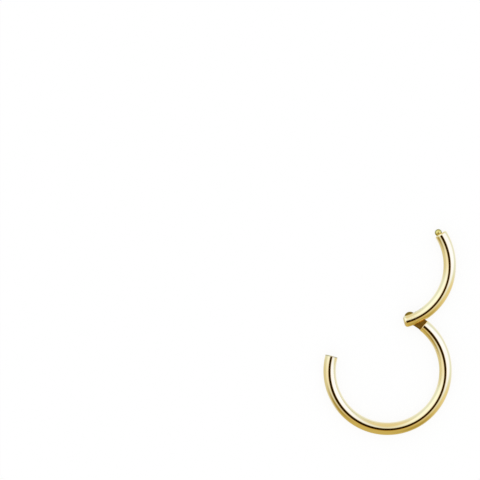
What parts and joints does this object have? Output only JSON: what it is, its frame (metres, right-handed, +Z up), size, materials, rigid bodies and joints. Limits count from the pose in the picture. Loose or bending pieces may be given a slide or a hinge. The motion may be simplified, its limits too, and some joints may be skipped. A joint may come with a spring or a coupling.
{
  "type": "hinged segment nose ring",
  "caption": "Thin polished gold wire hoop for a nostril piercing, shown open: a hinged segment swings out and snaps shut with a ball on its tip.",
  "frame": {"origin": "centre of the hoop, in the middle plane of its wire; the ring lies flat with that plane horizontal", "axes": "+Z up, along the hoop's axis; +Y across the hoop towards the hinge side, where the open segment stands; +X to the right of that, the side of the hinge"},
  "size_m": [0.0106, 0.0165, 0.001],
  "materials": {
    "polished_gold": "gold plating, mirror polished"
  },
  "bodies": {
    "hoop": {"hoop_body": "polished_gold"},
    "segment": {"swing_segment": "polished_gold", "hinge_pin": "polished_gold"}
  },
  "joints": [
    {"name": "segment_hinge", "type": "hinge", "parent": "hoop", "child": "segment", "pos_m": [0.00207, 0.00416, 0], "axis": [0, 0, 1], "range_deg": [0, 131.6]}
  ]
}
